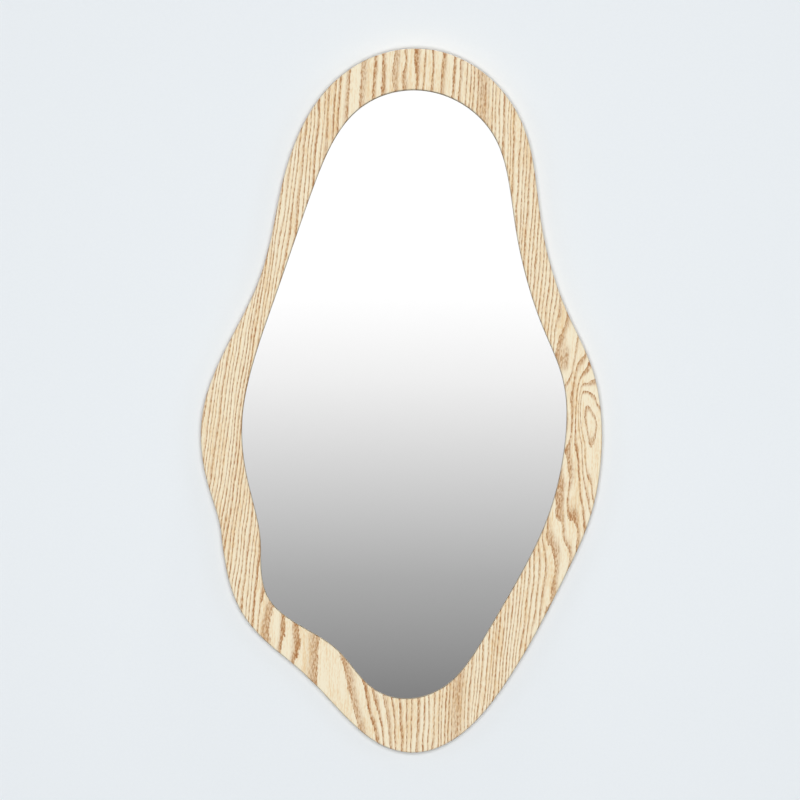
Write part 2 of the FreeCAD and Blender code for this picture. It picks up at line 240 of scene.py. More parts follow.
def turns_at_level(edge: bmesh.types.BMEdge, level: float) -> bool:
    """Tell whether an edge lies at a level of Y in mm and turns a corner there."""
    flat = all(abs(vertex.co.y - level * MM) < TOUCH for vertex in edge.verts)
    return flat and len(edge.link_faces) == 2 and edge.calc_face_angle() > math.radians(CORNER)


def finish_piece(name: str) -> Piece:
    """Leave edit mode and shade the piece.

    Args:
        name: The name that the piece keeps.

    Returns:
        The finished piece, at the origin.
    """
    face_outwards()
    bpy.ops.object.mode_set(mode="OBJECT")
    piece = bpy.context.object
    piece.name = name
    piece.data.name = name
    settle()
    bpy.ops.object.shade_smooth_by_angle(angle=math.radians(CREASE))
    return piece


def start_ring(outside: Outline, inside: Outline, front: float, back: float) -> None:
    """Bridge two outlines and extrude the band between them, and stay in edit mode.

    Args:
        outside: The outer line.
        inside: The inner line.
        front: Y of the front in mm.
        back: Y of the back in mm.
    """
    inner = line_of_vertices(inside, front)
    line_of_vertices(outside, front)
    inner.select_set(True)
    bpy.ops.object.join()
    bpy.ops.object.mode_set(mode="EDIT")
    bpy.ops.mesh.select_all(action="SELECT")
    bpy.ops.mesh.bridge_edge_loops()
    bpy.ops.mesh.select_all(action="SELECT")
    extrude_by(0, back - front, 0)
    face_outwards()


def start_plate(outline: Outline, front: float, back: float) -> None:
    """Fill an outline and extrude it, and stay in edit mode.

    Args:
        outline: The edge of the plate.
        front: Y of the front in mm.
        back: Y of the back in mm.
    """
    line_of_vertices(outline, front)
    bpy.ops.object.mode_set(mode="EDIT")
    bpy.ops.mesh.select_all(action="SELECT")
    bpy.ops.mesh.edge_face_add()
    extrude_by(0, back - front, 0)
    face_outwards()


def mark_way_round(piece: Piece, outline: Outline) -> None:
    """Store on each vertex how far round the outline it lies, wrapped so that it has no seam.

    The attribute way_round holds a point on a circle as long as the outline, in metres, so a
    pattern stretched along it closes on itself.

    Args:
        piece: The piece that follows the outline.
        outline: The line to measure along.
    """
    points = outline.points
    lengths = [0.0]
    for index in range(len(points)):
        here = points[index]
        there = points[(index + 1) % len(points)]
        lengths.append(lengths[-1] + math.dist(here, there))
    radius = lengths[-1] / (2 * math.pi)
    tree = kdtree.KDTree(len(points))
    for index, (x, z) in enumerate(points):
        tree.insert((x * MM, 0, z * MM), index)
    tree.balance()
    way = piece.data.attributes.new("way_round", "FLOAT_VECTOR", "POINT")
    for vertex, mark in zip(piece.data.vertices, way.data):
        index = tree.find((vertex.co.x, 0, vertex.co.z))[1]
        turn = lengths[index] / radius
        mark.vector = (radius * MM * math.cos(turn), radius * MM * math.sin(turn), vertex.co.y)


# ---- Finishes -------------------------------------------------------------------------------

ADD = {"operation": "ADD"}
SUBTRACT = {"operation": "SUBTRACT"}
MULTIPLY = {"operation": "MULTIPLY"}
MULTIPLY_ADD = {"operation": "MULTIPLY_ADD"}
MAXIMUM = {"operation": "MAXIMUM"}
EXPONENT = {"operation": "EXPONENT"}
CLAMPED_MULTIPLY = {"operation": "MULTIPLY", "use_clamp": True}
CLAMPED_MULTIPLY_ADD = {"operation": "MULTIPLY_ADD", "use_clamp": True}
SMOOTH = {"interpolation_type": "SMOOTHSTEP"}
COLOURS = {"data_type": "RGBA"}  # inputs 0, 6 and 7 are then the share and the two colours
BLEND = 2  # the output that holds the blended colour


def srgb(code: str) -> tuple[float, float, float, float]:
    """Turn a colour written as sRGB hex to the linear values that shaders use.

    Args:
        code: Six hex digits.

    Returns:
        Red, green, blue and a full alpha.
    """
    linear = []
    for start in (0, 2, 4):
        value = int(code[start : start + 2], 16) / 255
        linear.append(value / 12.92 if value <= 0.04045 else ((value + 0.055) / 1.055) ** 2.4)
    return linear[0], linear[1], linear[2], 1.0


def add_node(tree: Tree, kind: str, settings: dict | None = None, inputs: dict | list | None = None,
             out: int | str = 0) -> Socket | None:
    """Add a node with its settings, values and links.

    Args:
        tree: The node tree of a material or of the world.
        kind: The node's type, without its ShaderNode prefix.
        settings: Values of the node's own properties.
        inputs: For each input, in order or by name or number, a value, an sRGB hex colour or
            another node's output.
        out: The output to give back, by name or number.

    Returns:
        One output of the node, to link on from.
    """
    node = tree.nodes.new(f"ShaderNode{kind}")
    for name, value in (settings or {}).items():
        setattr(node, name, value)
    if isinstance(inputs, list):
        inputs = dict(enumerate(inputs))
    for name, value in (inputs or {}).items():
        if isinstance(value, Socket):
            tree.links.new(value, node.inputs[name])
        else:
            node.inputs[name].default_value = srgb(value) if isinstance(value, str) else value
    return node.outputs[out] if len(node.outputs) else None


def set_ramp(socket: Socket, stops: tuple[tuple[float, str], ...]) -> None:
    """Give a colour ramp its stops.

    Args:
        socket: The ramp's colour output.
        stops: For each stop its place from 0 to 1 and its sRGB hex colour.
    """
    ramp = socket.node.color_ramp
    while len(ramp.elements) < len(stops):
        ramp.elements.new(0.5)
    for element, (place, code) in zip(ramp.elements, stops):
        element.position = place
        element.color = srgb(code)


@dataclass(frozen=True)
class Finish:
    """A material; each kind of finish says which shader its surface has."""

    name: str

    def shader(self, tree: Tree) -> Socket:
        """Build the nodes of the surface.

        Args:
            tree: The material's nodes.

        Returns:
            The surface's shader.
        """
        raise NotImplementedError

    def build(self) -> Material:
        """Make the material.

        Returns:
            The material, ready to dress a piece.
        """
        material = bpy.data.materials.new(self.name)
        material.use_nodes = True
        tree = material.node_tree
        tree.nodes.clear()
        add_node(tree, "OutputMaterial", inputs={"Surface": self.shader(tree)})
        return material


def places_in_mm(tree: Tree) -> Socket:
    """Give the places on a piece in mm, in the mirror's own frame."""
    place = add_node(tree, "TexCoord", out="Object")
    return add_node(tree, "Mapping", inputs={"Vector": place, "Scale": (1000, 1000, 1000)})


@dataclass(frozen=True)
class Noise:
    """Smooth noise whose blotches have a size of their own along each axis."""

    blotch: Triple  # the size of a blotch, in the units of the places
    seed: float  # shifts the pattern
    low: float  # the lowest common value
    high: float  # the highest common value
    detail: float = 0.0  # how many finer layers it has

    def build(self, tree: Tree, places: Socket) -> Socket:
        """Make the noise.

        Args:
            tree: The material's nodes.
            places: Places on the piece.

        Returns:
            The noise.
        """
        stretched = add_node(tree, "Mapping", inputs={
            "Vector": places,
            "Location": (self.seed, self.seed, self.seed),
            "Scale": tuple(1 / size for size in self.blotch),
        })
        rough = add_node(tree, "TexNoise", inputs={"Vector": stretched, "Scale": 1.0, "Detail": self.detail})
        return add_node(tree, "MapRange", inputs=[rough, 0.2, 0.8, self.low, self.high])


@dataclass(frozen=True)
class Board:
    """The sawn board under a finish, and the node tree that describes it."""

    tree: Tree
    places: Socket  # in mm, from the valley
    across: Socket  # how far right of the valley, in mm, as the years there wander
    up: Socket  # height on the board, in mm


@dataclass(frozen=True)
class AshFace(Finish):
    """Flat-sawn white ash under a clear matt lacquer.

    Ash is ring-porous: each year starts with a sharp line of open brown pores, which thins out
    into pale dense wood. A board cut beside the heart shows a pale valley with bands either
    side, and a swelling in the trunk shows as a long eye. Lengths are in mm on the face.
    """

    name: str = "ash_face_lacquered"
    valley_x: float = -61.6  # the valley's middle at mid height
    valley_lean: float = 0.044  # how far it leans to the right for each mm up
    valley_depth: float = 26.0  # how wide the pale middle is at mid height
    valley_taper: float = -0.06  # how much wider it gets for each mm up
    wander: Noise = Noise((75, 75, 160), 1.7, -4.0, 4.0, 1.0)  # how the trunk bowed, in mm across
    foot_lean: float = 0.33  # how far the first years on the right lean outwards at the foot
    foot_top: float = -252.0
    foot_reach: Span = (25.0, 110.0)  # the lean fades out between these
    years_left: float = 1 / 6.2  # years for each mm outwards on the left of the valley
    years_right: float = 1 / 7.6
    crowding: float = 0.00009  # years for each mm more on the right for each mm down
    first_year: float = 0.35  # the count in the middle of the valley
    outer_left: float = 70.0  # past this the years lie closer
    outer_right: float = 112.0
    closer_left: float = 0.13  # years more for each mm there
    closer_right: float = 0.15
    left_lean: float = 0.016  # years for each mm up, left of the valley
    left_lean_above: float = 0.012  # years more for each mm above mid height
    swell_start: float = 212.0  # past this the swelling spreads the years again
    swell_wider: float = 0.205  # years fewer for each mm there
    swell_side: Span = (185.0, 225.0)  # it sets in between these
    swell_under: Span = (-55.0, -175.0)  # and grows downwards between these
    swell_lean: float = 2.8  # years by which they lean outwards under the swelling
    swell_wave: Noise = Noise((12, 12, 34), 6.6, -0.5, 0.5)  # years
    eye_x: float = 187.5  # the long eye's middle
    eye_z: float = -9.0
    eye_width: float = 12.0
    eye_height: float = 48.0
    eye_tilt: float = 0.12  # radians
    eye_years: float = 3.2  # how many years it cuts through
    ripple: Noise = Noise((10, 10, 38), 4.1, -0.28, 0.28, 1.5)  # years
    calm: Span = (12.0, 34.0)  # nearer the valley than these the ripple is faint
    ragged: Noise = Noise((0.9, 0.9, 3.5), 7.3, -0.05, 0.05)  # years, along the line of pores
    fuzzy_line: float = 132.0  # a broad brown streak right of the valley
    fuzzy_width: float = 6.0
    # Real pores are 0.3 mm wide; they are drawn coarser to show in a picture.
    pores: Noise = Noise((0.8, 0.8, 3.2), 2.9, -1.0, 1.0, 1.0)
    tones: tuple[Noise, ...] = (
        Noise((1.3, 1.3, 30), 5.2, -0.4, 0.4),  # fine fibres
        Noise((14, 14, 90), 9.4, -0.3, 0.3),  # broad clouds
        Noise((0.9, 0.9, 4.0), 6.1, -0.55, 0.55, 1.0),  # flecks
    )
    pale: str = "F8ECD0"  # dense wood
    warm: str = "ECCD9D"
    tan: str = "C99A65"  # porous wood
    deep: str = "9A6036"  # the bottom of a pore

    def lay_board(self, tree: Tree) -> Board:
        """Measure the board from its valley, and bow and lean it as the trunk grew.

        Args:
            tree: The material's nodes.

        Returns:
            The board.
        """
        place = add_node(tree, "TexCoord", out="Object")
        places = add_node(tree, "Mapping", inputs={
            "Vector": place,
            "Location": (-self.valley_x, 0, 0),
            "Rotation": (0, -self.valley_lean, 0),
            "Scale": (1000, 1000, 1000),
        })
        split = add_node(tree, "SeparateXYZ", inputs=[places]).node
        up = split.outputs["Z"]
        wander = self.wander.build(tree, places)
        across = add_node(tree, "Math", ADD, [split.outputs["X"], wander])
        foot = add_node(tree, "Math", MULTIPLY_ADD,
                        [up, self.foot_lean, -self.foot_lean * self.foot_top])
        foot = add_node(tree, "Math", {"operation": "MINIMUM"}, [foot, 0])
        near = add_node(tree, "MapRange", SMOOTH, [across, *self.foot_reach, 1, 0])
        right = add_node(tree, "MapRange", SMOOTH, [across, -12, 18])
        near = add_node(tree, "Math", MULTIPLY, [near, right])
        across = add_node(tree, "Math", MULTIPLY_ADD, [foot, near, across])
        return Board(tree, places, across, up)

    def years(self, board: Board) -> Socket:
        """Count the years outwards from the valley.

        Args:
            board: The board.

        Returns:
            The count of years, which is a whole number where one ends.
        """
        tree = board.tree
        depth = add_node(tree, "Math", MULTIPLY_ADD, [board.up, self.valley_taper, self.valley_depth])
        square = add_node(tree, "Math", MULTIPLY, [depth, depth])
        reach = add_node(tree, "Math", MULTIPLY_ADD, [board.across, board.across, square])
        reach = add_node(tree, "Math", {"operation": "SQRT"}, [reach])
        reach = add_node(tree, "Math", SUBTRACT, [reach, depth])
        right = add_node(tree, "Math", MULTIPLY_ADD, [board.up, -self.crowding, self.years_right])
        rate = add_node(tree, "MapRange", inputs=[board.across, -5, 5, self.years_left, right])
        count = add_node(tree, "Math", MULTIPLY_ADD, [reach, rate, self.first_year])
        bends = (
            (-1, self.outer_left, self.closer_left),
            (1, self.outer_right, self.closer_right),
            (1, self.swell_start, -self.swell_wider),
        )
        for side, start, change in bends:
            past = add_node(tree, "Math", MULTIPLY_ADD, [board.across, side, -start])
            past = add_node(tree, "Math", MAXIMUM, [past, 0])
            count = add_node(tree, "Math", MULTIPLY_ADD, [past, change, count])
        upper = add_node(tree, "Math", MAXIMUM, [board.up, 0])
        leans = add_node(tree, "Math", MULTIPLY, [upper, self.left_lean_above])
        leans = add_node(tree, "Math", MULTIPLY_ADD, [board.up, self.left_lean, leans])
        fade = add_node(tree, "MapRange", SMOOTH, [board.across, -110, -10, 1, 0])
        return add_node(tree, "Math", MULTIPLY_ADD, [leans, fade, count])

    def with_swelling(self, board: Board, count: Socket) -> Socket:
        """Lean the years outwards under the swelling, and raise its long eye beside the right belly.

        Args:
            board: The board.
            count: The count of years so far.

        Returns:
            The count with the swelling.
        """
        tree = board.tree
        side = add_node(tree, "MapRange", SMOOTH, [board.across, *self.swell_side])
        under = add_node(tree, "MapRange", SMOOTH, [board.up, *self.swell_under, 0, -self.swell_lean])
        count = add_node(tree, "Math", MULTIPLY_ADD, [side, under, count])
        wave = self.swell_wave.build(tree, board.places)
        count = add_node(tree, "Math", MULTIPLY_ADD, [side, wave, count])
        middle = (self.eye_x - self.valley_x, 0, self.eye_z)
        centred = add_node(tree, "VectorMath", SUBTRACT, [board.places, middle])
        tilted = add_node(tree, "VectorRotate", {"rotation_type": "Y_AXIS"},
                          {"Vector": centred, "Angle": self.eye_tilt})
        scale = (1 / self.eye_width, 0, 1 / self.eye_height)
        scaled = add_node(tree, "VectorMath", MULTIPLY, [tilted, scale])
        fall = add_node(tree, "VectorMath", {"operation": "DOT_PRODUCT"}, [scaled, scaled], "Value")
        fall = add_node(tree, "Math", MULTIPLY, [fall, -1])
        hill = add_node(tree, "Math", EXPONENT, [fall])
        return add_node(tree, "Math", MULTIPLY_ADD, [hill, self.eye_years, count])

    def with_ripple(self, board: Board, count: Socket) -> Socket:
        """Ripple the years a little, less in the valley, and make some of them wider.

        Args:
            board: The board.
            count: The count of years so far.

        Returns:
            The count as it shows.
        """
        tree = board.tree
        aside = add_node(tree, "Math", {"operation": "ABSOLUTE"}, [board.across])
        aside = add_node(tree, "MapRange", SMOOTH, [aside, *self.calm, 0.15])
        ripple = self.ripple.build(tree, board.places)
        count = add_node(tree, "Math", MULTIPLY_ADD, [ripple, aside, count])
        spread = add_node(tree, "TexNoise", {"noise_dimensions": "1D"},
                          {"W": count, "Scale": 0.55, "Detail": 0.0})
        return add_node(tree, "Math", MULTIPLY_ADD, [spread, 0.7, count])

    def porous_share(self, board: Board, count: Socket, phase: Socket) -> Socket:
        """Tell how porous the wood is: sharply so where a year starts, then less and less.

        Args:
            board: The board.
            count: The count of years.
            phase: How far through its year a place is, from 0 to 1.

        Returns:
            The share of open pores, from 0 to 1.
        """
        tree = board.tree
        year = add_node(tree, "Math", {"operation": "FLOOR"}, [count])
        draw = add_node(tree, "TexWhiteNoise", {"noise_dimensions": "1D"}, {"W": year}, "Color")
        draws = add_node(tree, "SeparateColor", inputs=[draw]).node
        strength = add_node(tree, "MapRange", inputs=[draws.outputs[0], 0, 1, 0.68, 1.0])
        width = add_node(tree, "MapRange", inputs=[draws.outputs[1], 0, 1, 0.45, 0.85])
        edge = add_node(tree, "Math", ADD, [phase, self.ragged.build(tree, board.places)])
        start = add_node(tree, "MapRange", SMOOTH, [edge, 0.0, 0.05])
        fade = add_node(tree, "MapRange", SMOOTH, [edge, 0.08, width, 1, 0])
        porous = add_node(tree, "Math", MULTIPLY, [start, fade])
        porous = add_node(tree, "Math", MULTIPLY, [porous, strength])
        streak = add_node(tree, "Math", SUBTRACT, [board.across, self.fuzzy_line])
        streak = add_node(tree, "Math", {"operation": "DIVIDE"}, [streak, self.fuzzy_width])
        streak = add_node(tree, "Math", MULTIPLY, [streak, streak])
        streak = add_node(tree, "Math", MULTIPLY, [streak, -1])
        streak = add_node(tree, "Math", EXPONENT, [streak])
        streak = add_node(tree, "Math", MULTIPLY, [streak, 0.5])
        return add_node(tree, "Math", MAXIMUM, [porous, streak])

    def colour(self, board: Board, phase: Socket, porous: Socket, pores: Socket) -> Socket:
        """Tint the wood: pale to warm through the year, tan and deep brown in the pores.

        Args:
            board: The board.
            phase: How far through its year a place is, from 0 to 1.
            porous: The share of open pores.
            pores: The single pores.

        Returns:
            The colour.
        """
        tree = board.tree
        warm = 0.0
        for tone in self.tones:
            warm = add_node(tree, "Math", ADD, [tone.build(tree, board.places), warm])
        warm = add_node(tree, "Math", CLAMPED_MULTIPLY_ADD, [phase, 0.25, warm])
        wood = add_node(tree, "Mix", COLOURS, {0: warm, 6: self.pale, 7: self.warm}, BLEND)
        tan = add_node(tree, "Math", MULTIPLY_ADD, [pores, 0.6, 0.7])
        tan = add_node(tree, "Math", CLAMPED_MULTIPLY, [tan, porous])
        wood = add_node(tree, "Mix", COLOURS, {0: tan, 6: wood, 7: self.tan}, BLEND)
        deep = add_node(tree, "Math", SUBTRACT, [porous, 0.22])
        deep = add_node(tree, "Math", CLAMPED_MULTIPLY, [deep, pores])
        return add_node(tree, "Mix", COLOURS, {0: deep, 6: wood, 7: self.deep}, BLEND)

    def shader(self, tree: Tree) -> Socket:
        """Build the wood from its years, pores and colours.

        Args:
            tree: The material's nodes.

        Returns:
            The surface's shader.
        """
        board = self.lay_board(tree)
        count = self.with_ripple(board, self.with_swelling(board, self.years(board)))
        phase = add_node(tree, "Math", {"operation": "FRACT"}, [count])
        pores = self.pores.build(tree, board.places)
        pores = add_node(tree, "MapRange", SMOOTH, [pores, -0.4, 0.5])
        porous = self.porous_share(board, count, phase)
        wood = self.colour(board, phase, porous, pores)
        sunk = add_node(tree, "Math", MULTIPLY, [porous, pores])
        relief = add_node(tree, "Bump", {"invert": True},
                          {"Strength": 0.5, "Distance": 0.0001, "Height": sunk})
        sheen = add_node(tree, "MapRange", inputs=[sunk, 0, 1, 0.42, 0.6])
        return add_node(tree, "BsdfPrincipled", inputs={
            "Base Color": wood, "Roughness": sheen, "Normal": relief, "IOR": 1.5})


@dataclass(frozen=True)
class AshEdging(Finish):
    """Thin ash edging, glued on so that its grain runs round the edge, under the same lacquer.

    It shows as a pale ribbon with long faint streaks. Its patterns are in m along the way round.
    """

    name: str = "ash_edging_lacquered"
    streaks: Noise = Noise((0.060, 0.060, 0.0011), 3.0, -0.3, 1.0, 2.0)  # real ones are half as wide
    pores: Noise = Noise((0.004, 0.004, 0.0005), 5.0, -1.2, 1.0)

    def shader(self, tree: Tree) -> Socket:
        """Build the wood, whose grain follows the piece's own way_round.

        Args:
            tree: The material's nodes.

        Returns:
            The surface's shader.
        """
        way = add_node(tree, "Attribute", {"attribute_name": "way_round"}, out="Vector")
        dark = self.streaks.build(tree, way)
        wood = add_node(tree, "Mix", COLOURS, {0: dark, 6: "F2E4C2", 7: "D8B88A"}, BLEND)
        pore = add_node(tree, "Math", CLAMPED_MULTIPLY, [self.pores.build(tree, way), 0.7])
        wood = add_node(tree, "Mix", COLOURS, {0: pore, 6: wood, 7: "B58A60"}, BLEND)
        relief = add_node(tree, "Bump", {"invert": True},
                          {"Strength": 0.3, "Distance": 0.0001, "Height": pore})
        return add_node(tree, "BsdfPrincipled", inputs={
            "Base Color": wood, "Roughness": 0.48, "Normal": relief})


@dataclass(frozen=True)
class Speckled(Finish):
    """A matt material of pressed fibres, cells or filled rubber: two tones of fine speckle."""

    pale: str
    dark: str
    grain: Triple  # mm
    roughness: float
    relief: float  # m

    def shader(self, tree: Tree) -> Socket:
        """Build the speckle in colour, roughness and relief.

        Args:
            tree: The material's nodes.

        Returns:
            The surface's shader.
        """
        places = places_in_mm(tree)
        fleck = Noise(self.grain, 2.0, 0.0, 1.0, 3.0).build(tree, places)
        cloud = Noise(tuple(size * 30 for size in self.grain), 6.0, 0.0, 0.3, 2.0).build(tree, places)
        share = add_node(tree, "Math", CLAMPED_MULTIPLY_ADD, [fleck, 0.6, cloud])
        colour = add_node(tree, "Mix", COLOURS, {0: share, 6: self.pale, 7: self.dark}, BLEND)
        relief = add_node(tree, "Bump", inputs={"Strength": 0.6, "Distance": self.relief, "Height": fleck})
        rough = add_node(tree, "MapRange", inputs=[fleck, 0, 1, self.roughness - 0.08, self.roughness + 0.08])
        return add_node(tree, "BsdfPrincipled", inputs={
            "Base Color": colour, "Roughness": rough, "Normal": relief})


@dataclass(frozen=True)
class PlatedSteel(Finish):
    """Pressed or drawn steel with a thin zinc plating: a soft shine that drifts in tone."""

    bright: str
    dull: str
    grain: Triple  # mm; long along the direction it was rolled or drawn in

    def shader(self, tree: Tree) -> Socket:
        """Build the metal with its lines and drifting tone.

        Args:
            tree: The material's nodes.

        Returns:
            The surface's shader.
        """
        places = places_in_mm(tree)
        lines = Noise(self.grain, 1.0, 0.0, 1.0, 2.0).build(tree, places)
        drift = Noise((3.0, 3.0, 3.0), 8.0, 0.0, 1.0, 1.0).build(tree, places)
        colour = add_node(tree, "Mix", COLOURS, {0: drift, 6: self.bright, 7: self.dull}, BLEND)
        rough = add_node(tree, "MapRange", inputs=[lines, 0, 1, 0.22, 0.45])
        relief = add_node(tree, "Bump", inputs={"Strength": 0.25, "Distance": 0.00002, "Height": lines})
        return add_node(tree, "BsdfPrincipled", inputs={
            "Base Color": colour, "Roughness": rough, "Metallic": 1.0, "Normal": relief})


@dataclass(frozen=True)
class FloatGlass(Finish):
    """Clear float glass, polished by the tin bath it was cast on, with a faint roller wave."""

    name: str = "float_glass_clear"
    wave: Noise = Noise((90.0, 90.0, 90.0), 3.0, 0.0, 1.0)  # mm from one swell to the next

    def shader(self, tree: Tree) -> Socket:
        """Build the clear glass with its wave.

        Args:
            tree: The material's nodes.

        Returns:
            The surface's shader.
        """
        swell = self.wave.build(tree, places_in_mm(tree))
        relief = add_node(tree, "Bump", inputs={"Strength": 0.2, "Distance": 0.00001, "Height": swell})
        return add_node(tree, "BsdfPrincipled", inputs={
            "Base Color": "FEFEFE",
            "Roughness": 0.0,
            "IOR": 1.52,
            "Transmission Weight": 1.0,
            "Normal": relief,
        })


@dataclass(frozen=True)
class SilverCoat(Finish):
    """Chemically deposited silver: a clean mirror on the glass side, grey paint on the other."""

    name: str = "silver_coat"
    grain: Noise = Noise((0.8, 0.8, 0.8), 4.0, 0.0, 1.0, 2.0)  # the paint's, in mm

    def shader(self, tree: Tree) -> Socket:
        """Build the silver, which turns to paint where the coat faces the wall.

        Args:
            tree: The material's nodes.

        Returns:
            The surface's shader.
        """
        facing = add_node(tree, "NewGeometry", out="True Normal")
        facing = add_node(tree, "SeparateXYZ", inputs=[facing], out="Y")
        behind = add_node(tree, "Math", {"operation": "GREATER_THAN"}, [facing, 0.1])
        fleck = self.grain.build(tree, places_in_mm(tree))
        paint = add_node(tree, "Mix", COLOURS, {0: fleck, 6: "8D9092", 7: "7E8183"}, BLEND)
        silver = add_node(tree, "BsdfPrincipled", inputs={
            "Base Color": "FDFDFD", "Roughness": 0.0, "Metallic": 1.0})
        coat = add_node(tree, "BsdfPrincipled", inputs={"Base Color": paint, "Roughness": 0.6})
        return add_node(tree, "MixShader", inputs=[behind, silver, coat])


# Wood fibre pressed dry and sawn to shape: dull, with short soft flecks of two browns.
FIBREBOARD = Speckled("raw_fibreboard", "BE9C74", "94734F", (0.7, 0.7, 0.7), 0.85, 0.00008)
# Closed-cell foam with adhesive on both faces: off-white and softly pitted.
FOAM_TAPE = Speckled("foam_tape", "F1F1EC", "D9D9D2", (0.8, 0.8, 0.8), 0.8, 0.00008)
# Rubber cut from moulded sheet: black, with no shine.
SPACER_RUBBER = Speckled("spacer_rubber", "232323", "161616", (0.5, 0.5, 0.5), 0.7, 0.00003)
# Blown foam sheet: white and matt, with open cells where it was sliced.
PACKING_FOAM = Speckled("packing_foam", "F6F6F4", "E2E2DE", (1.1, 1.1, 1.1), 0.88, 0.00012)
# Wood fibre pressed wet against a hot polished plate: dark, smooth and half matt.
HARDBOARD = Speckled("hardboard", "6A4F3A", "4B3626", (0.6, 0.6, 0.9), 0.52, 0.00003)
# Moulded rubber: near black, with a faint dry bloom.
BUMPER_RUBBER = Speckled("bumper_rubber", "2B2B2B", "1C1C1C", (0.4, 0.4, 0.4), 0.65, 0.00003)
# Steel with yellow-passivated zinc: a warm shine that drifts in tone.
YELLOW_ZINC = PlatedSteel("yellow_zinc_screw", "DCCB98", "C9B27C", (0.4, 0.4, 0.4))
# Cold-rolled strip with bright zinc: a cool shine with faint lines along the strip.
ZINC_STRIP = PlatedSteel("bright_zinc_strap", "CDD0D3", "B4B8BC", (0.25, 0.25, 6.0))
# Drawn wire with bright zinc: a cool shine with faint lines along the wire.
ZINC_WIRE = PlatedSteel("bright_zinc_wire", "D2D4D6", "BBBFC2", (3.0, 0.3, 0.3))


def dress(piece: Piece, finish: Material) -> None:
    """Give every material slot of a piece the same finish.

    Args:
        piece: The piece.
        finish: The material.
    """
    if not piece.data.materials:
        piece.data.materials.append(finish)
    for slot in piece.material_slots:
        slot.material = finish


def dress_nodes(finish: Material, *nodes: str) -> None:
    """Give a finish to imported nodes, which keep their own meshes."""
    for node in nodes:
        dress(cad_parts[node], finish)


def fit(piece: Piece, finish: Material, node: str, body: str = "frame") -> None:
    """Dress a piece, let it ride on a body and stand for its node.

    Args:
        piece: The piece.
        finish: Its material.
        node: The CAD node that it stands for.
        body: The body that it moves with.
    """
    dress(piece, finish)
    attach(piece, body)
    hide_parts(node)
    LOG.info("%s: %d faces", piece.name, len(piece.data.polygons))


# ---- The pieces -----------------------------------------------------------------------------

@dataclass
class WoodenRing:
    """The ash face, the edge bands and the fibreboard core behind them."""

    ease: float = 1.5  # rounding of the face's two front edges, mm
    holding_line: float = 0.6  # mm of flat face kept beside the rounding, so that it shades flat
    band: float = 1.0  # thickness of the edging, mm
    hairline: float = 0.12  # easing of the glued edges, which leaves a fine joint line, mm

    def make_face(self) -> Piece:
        """Model the face: a sawn plate with both front edges eased.

        Returns:
            The face.
        """
        start_ring(OUTER, SIGHT, FACE_FRONT, CORE_FRONT)
        select(Part.EDGES, lambda edge: turns_at_level(edge, FACE_FRONT))
        bpy.ops.mesh.bevel(offset=self.ease * MM, segments=6, profile=0.5, affect="EDGES")
        select(Part.EDGES, lambda edge: turns_at_level(edge, CORE_FRONT))
        bpy.ops.mesh.bevel(offset=self.hairline * MM, segments=1, affect="EDGES")
        select(Part.FACES, lambda face: face.normal.y < -0.9999)
        bpy.ops.mesh.inset(thickness=self.holding_line * MM)
        return finish_piece("ash_face")

    def make_band(self, name: str, outside: Outline, inside: Outline, back: float) -> Piece:
        """Model one edge band.

        Args:
            name: The piece's name.
            outside: Its outer line.
            inside: Its inner line.
            back: Y of its back edge in mm.

        Returns:
            The band, with its way round marked for the grain.
        """
        start_ring(outside, inside, CORE_FRONT, back)
        select(Part.EDGES, lambda edge: turns_at_level(edge, CORE_FRONT) or turns_at_level(edge, back))
        bpy.ops.mesh.bevel(offset=self.hairline * MM, segments=2, affect="EDGES")
        band = finish_piece(name)
        mark_way_round(band, outside)
        return band

    def build(self) -> None:
        """Build and dress the ring."""
        fit(self.make_face(), AshFace().build(), "face_veneer")
        edging = AshEdging().build()
        bands = (
            ("outer_edging", OUTER, OUTER.grown(-self.band), RING_BACK, "outer_edge_band"),
            ("inner_edging", SIGHT.grown(self.band), SIGHT, LIP_BACK, "inner_edge_band"),
        )
        for name, outside, inside, back, node in bands:
            fit(self.make_band(name, outside, inside, back), edging, node)
        dress_nodes(FIBREBOARD.build(), "frame_core")


@dataclass
class MirrorPlate:
    """The silvered glass with its tapes, spacers and packing foam."""

    glass_lap: float = 5.0  # glass hidden behind the lip, mm
    arris: float = 0.5  # ground corner of the glass, mm
    coat: float = 0.1  # silver and paint, mm
    bond: float = 0.02  # how far the coat's front is set into the glass, so that no ray slips between

    def make_silvering(self) -> Piece:
        """Model the coat on the back of the glass.

        Returns:
            The coat.
        """
        start_plate(SIGHT.grown(self.glass_lap - self.arris), GLASS_BACK - self.bond, GLASS_BACK + self.coat)
        return finish_piece("silvering")

    def build(self) -> None:
        """Build and dress the mirror."""
        dress_nodes(FloatGlass().build(), "mirror_glass")
        fit(self.make_silvering(), SilverCoat().build(), "mirror_silvering")
        dress_nodes(FOAM_TAPE.build(), *[f"glass_tape_{number}" for number in range(1, 7)])
        dress_nodes(SPACER_RUBBER.build(), "glass_spacer_left", "glass_spacer_right")
        dress_nodes(PACKING_FOAM.build(), "foam_sheet")
        LOG.info("glass, tapes, spacers and foam dressed")


